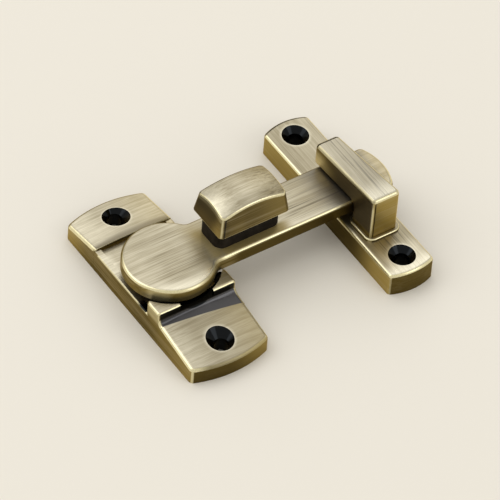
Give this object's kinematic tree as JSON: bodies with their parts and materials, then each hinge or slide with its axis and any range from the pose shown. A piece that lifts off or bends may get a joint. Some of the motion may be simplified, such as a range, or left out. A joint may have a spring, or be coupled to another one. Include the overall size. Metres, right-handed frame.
{
  "type": "swing-bar child safety latch",
  "caption": "Surface-mounted swing-bar latch in antique brass: a disc-ended bar with a thumb knob turns on a base plate and drops under the hook of a separate keeper plate",
  "frame": {"origin": "on the pivot axis in the mounting plane, midway between the base plate's two screw holes", "axes": "+X from the base plate to the keeper, +Y the side the hook opens to, +Z out of the door"},
  "size_m": [0.073, 0.0588, 0.0265],
  "materials": {
    "antique_brass": "brushed antique brass, dark in the recesses",
    "black_collar": "smooth black",
    "zinc_steel": "bright zinc"
  },
  "bodies": {
    "base": {"base_plate": "antique_brass", "keeper": "antique_brass", "spring_washer": "zinc_steel"},
    "bar": {"swing_bar": "antique_brass", "thumb_knob": "antique_brass", "knob_collar": "black_collar", "knob_screws": "zinc_steel", "pivot_screw": "zinc_steel", "back_washer": "zinc_steel"}
  },
  "joints": [
    {"name": "bar_pivot", "type": "hinge", "parent": "base", "child": "bar", "pos_m": [0, 0, 0], "axis": [0, 0, 1], "range_deg": [0, 180]}
  ]
}
